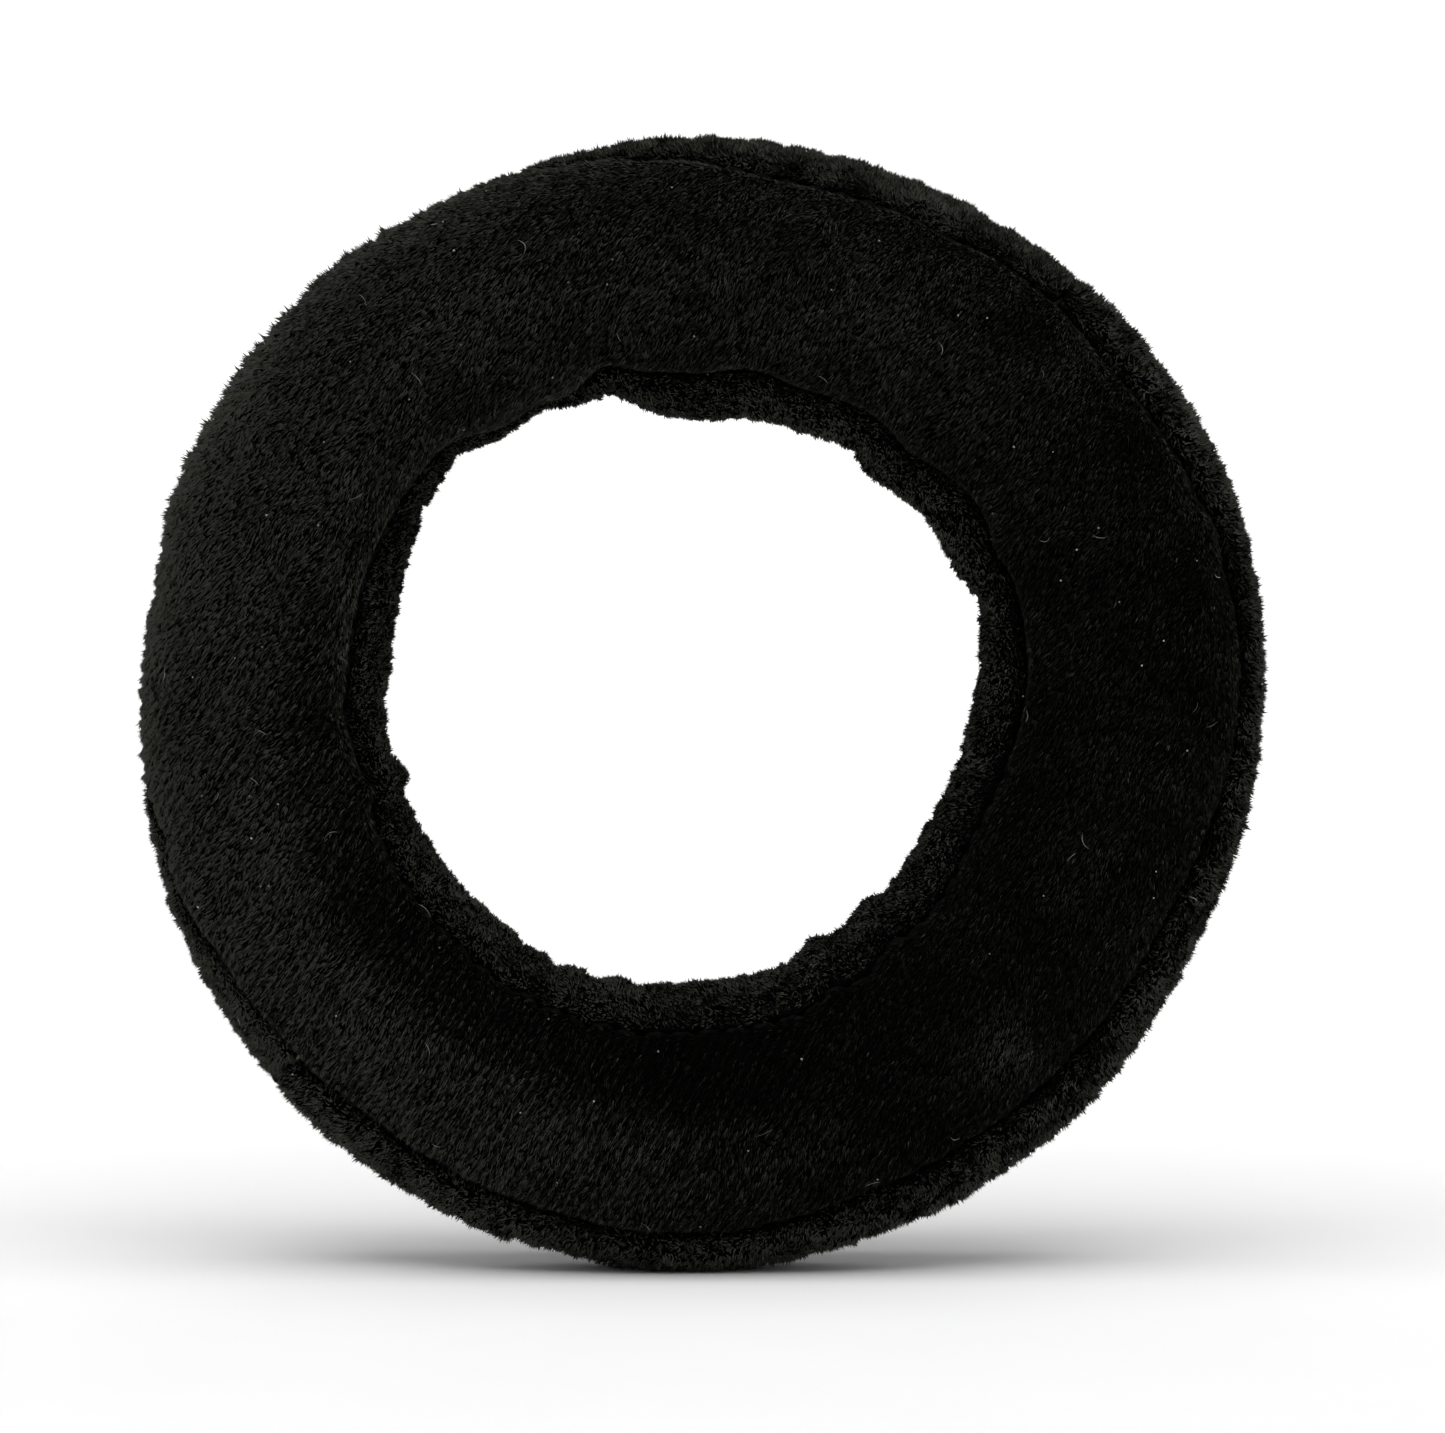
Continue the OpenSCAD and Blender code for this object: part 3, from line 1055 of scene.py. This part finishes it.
# How high above the cloth the lint lies, caught in the tips of the pile
LINT_RISE = 0.45
LINT_RINGS = 9
LINT_SIDES = 4
SPECK_LENGTH = (0.12, 0.22)
SPECK_RADIUS = (0.05, 0.09)
FIBRE_LENGTH = (0.7, 1.7)
FIBRE_RADIUS = 0.018
# How far a fibre bends, as a share of its length
FIBRE_BEND = 0.3


def lint_material():
    """Pale dust and stray fibres."""
    material, shader = new_material("lint", (0.2, 0.2, 0.19), 0.9, specular=0.1)
    noise_colour(material, shader, 700, (0.08, 0.08, 0.08), (0.5, 0.5, 0.46))
    return material


def lint_piece(name, surface, specks, stray_fibres):
    """Pale specks and short curved fibres caught in the pile, as thin closed tubes."""
    total = specks + stray_fibres
    is_speck = np.arange(total) < specks
    root, normal, along, degrees, edge = scatter(surface, total, 1.0, rng)
    way = turned(flattened(along, normal), normal, rng.uniform(0, 360, total))
    side = np.cross(normal, way)
    speck_length = rng.uniform(*SPECK_LENGTH, total)
    length = np.where(is_speck, speck_length, rng.uniform(*FIBRE_LENGTH, total))
    bend = rng.uniform(-FIBRE_BEND, FIBRE_BEND, total) * length
    radius = np.where(is_speck, rng.uniform(*SPECK_RADIUS, total), FIBRE_RADIUS)
    s = np.linspace(0, 1, LINT_RINGS)
    turn = np.arange(LINT_SIDES) * 2 * math.pi / LINT_SIDES
    points = []
    for k in range(total):
        line = root[k] + normal[k] * LINT_RISE + way[k] * ((s - 0.5) * length[k])[:, None]
        line = line + side[k] * (bend[k] * np.sin(math.pi * s))[:, None]
        thick = radius[k] * np.sqrt(np.clip(1 - (2 * s - 1) ** 2, 0.04, 1))
        ring = side[k] * np.cos(turn)[:, None] + normal[k] * np.sin(turn)[:, None]
        points.append(line[:, None] + ring * thick[:, None, None])
    caps = np.array([[3, 2, 1, 0]])
    last = (LINT_RINGS - 1) * LINT_SIDES
    faces = tube_faces(total, LINT_RINGS, LINT_SIDES, caps, caps[:, ::-1] + last)
    obj = make_object(name, np.reshape(points, (-1, 3)), faces, [lint_material()])
    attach(obj, "cover")


lint_piece("front_panel_lint", front, LINT_SPECKS, LINT_FIBRES)
lint_piece("rim_strip_lint", rim, LINT_SPECKS // 3, LINT_FIBRES // 2)


# ---------------- sewing thread

STITCH = 2.4
STITCH_RINGS = 9
STITCH_SIDES = 8
# The share of its length that a stitch leaves empty at each end
STITCH_GAP = 0.06
# How far the two plies stand out, and how many times they cross the top of a stitch
PLY_RELIEF = 0.18
PLY_TURNS = 2.5
# How far a stitch's middle rises over its ends, and how deep they lie, in thread radii
THREAD_ARCH = 1.2
THREAD_DIP = 0.8
# How deep a thread lies under the line of its seam or of its join
SEAM_THREAD_SINK = 0.45
JOIN_THREAD_SINK = 0.1
# How many of the surface's points stay free of stitches at each end of a join
JOIN_ROW_END = 6
# In the order of the seams' columns
SEAM_NODES = ("back_rim_seam", "front_rim_seam", "front_hole_seam", "back_hole_seam")


def stitches(name, path, outwards, length, radius, closed, material, node, body):
    """A row of stitches along a path. Each one is a short length of two-ply thread."""
    ends = np.concatenate([path, path[:1]]) if closed else path
    out_ends = np.concatenate([outwards, outwards[:1]]) if closed else outwards
    run = np.concatenate([[0], np.cumsum(np.linalg.norm(np.diff(ends, axis=0), axis=1))])
    count = max(1, round(run[-1] / length))
    s = np.linspace(0, 1, STITCH_RINGS)
    points = []
    for k in range(count):
        at = (k + STITCH_GAP + (1 - 2 * STITCH_GAP) * s) / count * run[-1]
        line = np.stack([np.interp(at, run, ends[:, c]) for c in range(3)], 1)
        lift = np.stack([np.interp(at, run, out_ends[:, c]) for c in range(3)], 1)
        lift = unit(lift)
        arch = radius * THREAD_ARCH * np.sin(math.pi * s) - radius * THREAD_DIP
        line = line + lift * arch[:, None]
        ahead = unit(np.gradient(line, axis=0))
        side = unit(np.cross(ahead, lift))
        up = np.cross(side, ahead)
        turn = np.arange(STITCH_SIDES) * 2 * math.pi / STITCH_SIDES
        ply = 1 + PLY_RELIEF * np.cos(2 * (turn[None] - PLY_TURNS * math.pi * s[:, None]))
        thick = radius * np.sqrt(np.clip(1 - (2 * s - 1) ** 8, 0.05, 1))[:, None] * ply
        ring = side[:, None] * np.cos(turn)[:, None] + up[:, None] * np.sin(turn)[:, None]
        points.append(line[:, None] + ring * thick[..., None])
    caps = np.array([[0, 3, 2, 1], [0, 5, 4, 3], [0, 7, 6, 5]])
    last = (STITCH_RINGS - 1) * STITCH_SIDES
    faces = tube_faces(count, STITCH_RINGS, STITCH_SIDES, caps[:, ::-1], caps + last)
    obj = make_object(name, np.reshape(points, (-1, 3)), faces, [material])
    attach(obj, body)
    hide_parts(node)


black_thread = thread_material("seam_thread", (0.0015, 0.0015, 0.0015), (0.004, 0.004, 0.004))


def black_stitches(name, path, outwards, closed, node):
    """A row of stitches in the cover's own thread."""
    stitches(
        name, path, outwards, STITCH, THREAD_D / 2, closed, black_thread, node, "cover"
    )


def join_row(node, surface, middle):
    """Stitches across a strip where its two ends meet."""
    i = round(middle / 360 * FINE_ROUND) % FINE_ROUND
    row = slice(JOIN_ROW_END, -JOIN_ROW_END)
    outwards = surface.normals[i, row]
    path = pressed_on_floor(surface.points[i, row] - outwards * JOIN_THREAD_SINK, FLOOR_GAP)
    black_stitches(node + "_thread", path, outwards, False, node)


middles = catmull_round(section_middles, FINE_ROUND)
for node, column in zip(SEAM_NODES, seam_columns()):
    path = catmull_round(form[:, column], FINE_ROUND)
    away = unit(path - middles)
    path = pressed_on_floor(path - away * SEAM_THREAD_SINK, FLOOR_GAP)
    black_stitches(node + "_stitches", path, away, True, node)

join_row("rim_join_high_stitches", rim, RIM_JOIN_HIGH)
join_row("rim_join_low_stitches", rim, RIM_JOIN_LOW)
join_row("inner_band_join_stitches", band, BAND_JOIN)


# ---------------- what the cover hides

# The foam keeps this share of the cover's section, and stays clear of the elastic
FOAM_SHARE = 0.84
FOAM_LUMPS = 0.25
FOAM_LUMP_WAVE = 3.0
FOAM_INNER_R = LAP_OUTER_R + 0.45
ELASTIC_T = LAP_OUTER_R - ELASTIC_OUTER_R
ELASTIC_INNER_R = ELASTIC_OUTER_R - ELASTIC_T
ELASTIC_LAP = 12
ELASTIC_MIDDLE = 270
# The angle over which the upper end climbs on to the lower one
ELASTIC_CLIMB = 30
LAP_GAP = 0.02
ELASTIC_STEPS = 620
# How far the hollows of the knit lie inside the strip's edges, its inner and its outer side
ELASTIC_EDGE = 0.05
ELASTIC_UNDER = 0.07
ELASTIC_OVER = 0.12
ELASTIC_RIBS = 10
ELASTIC_RIB_H = 0.06
# The knit repeats along the elastic
ELASTIC_KNIT_H = 0.03
ELASTIC_KNIT_PITCH = 0.9
ZIGZAG_CORNERS = 11
# How much of the overlap it runs along, each way from the middle
ZIGZAG_SHARE = 0.4
ZIGZAG_INSET = 0.6
ZIGZAG_THREAD_R = 0.14


def foam_core():
    """The foam ring inside the cover."""
    rows, columns = form.shape[:2]
    core = section_middles[:, None] + (form - section_middles[:, None]) * FOAM_SHARE
    away = unit(core - section_middles[:, None])
    core = core + away * (FOAM_LUMPS * noise(core, FOAM_LUMP_WAVE, 2))[..., None]
    radius = np.linalg.norm(core[..., [0, 2]] - [0, CAD_CENTRE_Z], axis=2)
    push = np.maximum(FOAM_INNER_R - radius, 0)
    out = unit((core - [0, 0, CAD_CENTRE_Z]) * [1, 0, 1])
    core = pressed_on_floor(core + out * push[..., None], FOAM_FLOOR)
    faces = grid_faces(rows, columns, True, True)
    obj = make_object("padding_core", core.reshape(-1, 3), faces, [foam_material("foam")])
    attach(obj, "cover")
    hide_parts("padding_ring")


def elastic_loop():
    """A ribbed elastic strip, wound once round with its ends overlapped."""
    lap = math.degrees(ELASTIC_LAP / ELASTIC_INNER_R)
    last_turn = ELASTIC_MIDDLE + 360
    turn = np.linspace(ELASTIC_MIDDLE - lap / 2, last_turn + lap / 2, ELASTIC_STEPS)
    climb = np.clip((turn - (last_turn - ELASTIC_CLIMB)) / (ELASTIC_CLIMB - lap / 2), 0, 1)
    climb = climb * climb * (3 - 2 * climb)
    base = ELASTIC_INNER_R + climb * (ELASTIC_T + LAP_GAP)
    across = np.linspace(-1, 1, ELASTIC_RIBS * 6 + 1)
    rib = ELASTIC_RIB_H * np.abs(np.cos(across * ELASTIC_RIBS * math.pi / 2))
    arc = np.radians(turn) * ELASTIC_INNER_R
    knit = ELASTIC_KNIT_H * np.sin(arc * 2 * math.pi / ELASTIC_KNIT_PITCH)
    width = across * (ELASTIC_W / 2 - ELASTIC_EDGE)
    low = base[:, None] + ELASTIC_UNDER - rib[None]
    high = base[:, None] + ELASTIC_T - ELASTIC_OVER + rib[None] + knit[:, None]
    radius = np.concatenate([high, low[:, ::-1]], 1)
    depth = np.concatenate([width, width[::-1]])
    out = on_ring(turn)
    points = out[:, None] * radius[..., None] + TO_FRONT * depth[None, :, None]
    points = points + np.array([0, 0, CAD_CENTRE_Z])
    rows, columns = radius.shape
    faces = np.concatenate([
        grid_faces(rows, columns, False, True),
        end_cap(0, columns)[:, ::-1],
        end_cap(rows - 1, columns),
    ])
    material = elastic_material("ribbed_elastic")
    obj = make_object("elastic_loop", points.reshape(-1, 3), faces, [material])
    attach(obj, "elastic")
    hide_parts("elastic_band")


def elastic_zigzag():
    """A zigzag of pale thread over the overlap."""
    lap = math.degrees(ELASTIC_LAP / ELASTIC_INNER_R)
    reach = lap * ZIGZAG_SHARE
    turn = np.linspace(ELASTIC_MIDDLE - reach, ELASTIC_MIDDLE + reach, ZIGZAG_CORNERS)
    side = np.where(np.arange(ZIGZAG_CORNERS) % 2, 1, -1) * (ELASTIC_W / 2 - ZIGZAG_INSET)
    radius = ELASTIC_INNER_R + 2 * ELASTIC_T + LAP_GAP
    path = on_ring(turn) * radius + TO_FRONT * side[:, None] + [0, 0, CAD_CENTRE_Z]
    length = np.linalg.norm(np.diff(path, axis=0), axis=1).mean()
    white = thread_material("elastic_thread", (0.55, 0.55, 0.52), (0.8, 0.8, 0.77))
    stitches(
        "elastic_zigzag", path, on_ring(turn), length, ZIGZAG_THREAD_R, False, white,
        "elastic_join_stitches", "elastic",
    )


foam_core()
elastic_loop()
elastic_zigzag()


# ---------------- studio

VIEW_W = 128.2
CAMERA_DISTANCE = 700
CAMERA_RISE = 4.8
CAMERA_TARGET = (1.7, 0, 49.3)
SENSOR_W = 36.0
SKY = 0.12
# (name, where it comes from, spread in degrees, power)
SUNS = [
    ("softbox_left", (-800, -420, 900), 60, 0.72),
    ("softbox_middle", (0, -280, 900), 60, 1.95),
    ("softbox_right", (800, -420, 900), 60, 0.6),
]
WALL_AT = 1500
WALL_TOP = 4000
SHEET_REACH = 7000
EDGE_AT = 4000
PAPER_BEND = 900
BEND_POINTS = 25
# Angles on the floor between which the low edge runs, round the front
EDGE_ARC = (160, 380)
EDGE_POINTS = 56
EDGE_BEND = 50


def bent_up(start, degrees):
    """(distance, height) pairs of paper that bends up from the floor."""
    a = np.radians(np.linspace(0, degrees, BEND_POINTS))
    return np.stack([start + PAPER_BEND * np.sin(a), PAPER_BEND * (1 - np.cos(a))], 1)


def add_paper():
    """White paper: a floor that curves up into a wall behind, and a low edge round the front."""
    material, shader = new_material("white_paper", (0.9, 0.9, 0.9), 0.9, specular=0.0)
    noise_colour(material, shader, 40, (0.895, 0.895, 0.895), (0.905, 0.905, 0.905))
    profile = [(-SHEET_REACH, 0), *bent_up(WALL_AT, 90), (WALL_AT + PAPER_BEND, WALL_TOP)]
    sheet = [(x, y, z) for y, z in profile for x in (SHEET_REACH, -SHEET_REACH)]
    edge = [
        (r * math.cos(turn), r * math.sin(turn), z)
        for turn in np.radians(np.linspace(*EDGE_ARC, EDGE_POINTS))
        for r, z in bent_up(EDGE_AT, EDGE_BEND)
    ]
    for name, points, columns in (("paper", sheet, 2), ("paper_edge", edge, BEND_POINTS)):
        faces = grid_faces(len(points) // columns, columns, False, False)
        make_object(name, points, faces, [material])


def add_sun(name, direction, spread, power):
    """Soft light from far away, from one direction, with no falloff."""
    data = bpy.data.lights.new(name, "SUN")
    data.angle = math.radians(spread)
    data.energy = power
    lamp = bpy.data.objects.new(name, data)
    bpy.context.scene.collection.objects.link(lamp)
    aim(lamp, direction, (0, 0, 0))


def aim(obj, place, target):
    """Puts an object at a place, looking at a target."""
    start, end = Vector(place) * MM, Vector(target) * MM
    obj.location = start
    obj.rotation_euler = (end - start).to_track_quat("-Z", "Y").to_euler()


def add_camera():
    """A long lens in front of the ring, a little above its middle."""
    data = bpy.data.cameras.new("camera")
    data.sensor_width = SENSOR_W
    data.lens = SENSOR_W * CAMERA_DISTANCE / VIEW_W
    data.clip_start = 0.01
    data.clip_end = 20
    camera = bpy.data.objects.new("camera", data)
    bpy.context.scene.collection.objects.link(camera)
    rise = math.radians(CAMERA_RISE)
    place = CAMERA_TARGET + CAMERA_DISTANCE * np.array([0, -math.cos(rise), math.sin(rise)])
    aim(camera, place, CAMERA_TARGET)
    bpy.context.scene.camera = camera


def add_sky():
    """Even white light from all round."""
    world = bpy.data.worlds.new("studio")
    world.use_nodes = True
    world.node_tree.nodes["Background"].inputs["Color"].default_value = (1, 1, 1, 1)
    world.node_tree.nodes["Background"].inputs["Strength"].default_value = SKY
    bpy.context.scene.world = world


add_paper()
add_sky()
for name, direction, spread, power in SUNS:
    add_sun(name, direction, spread, power)
add_camera()
bpy.context.scene.view_settings.view_transform = "Standard"
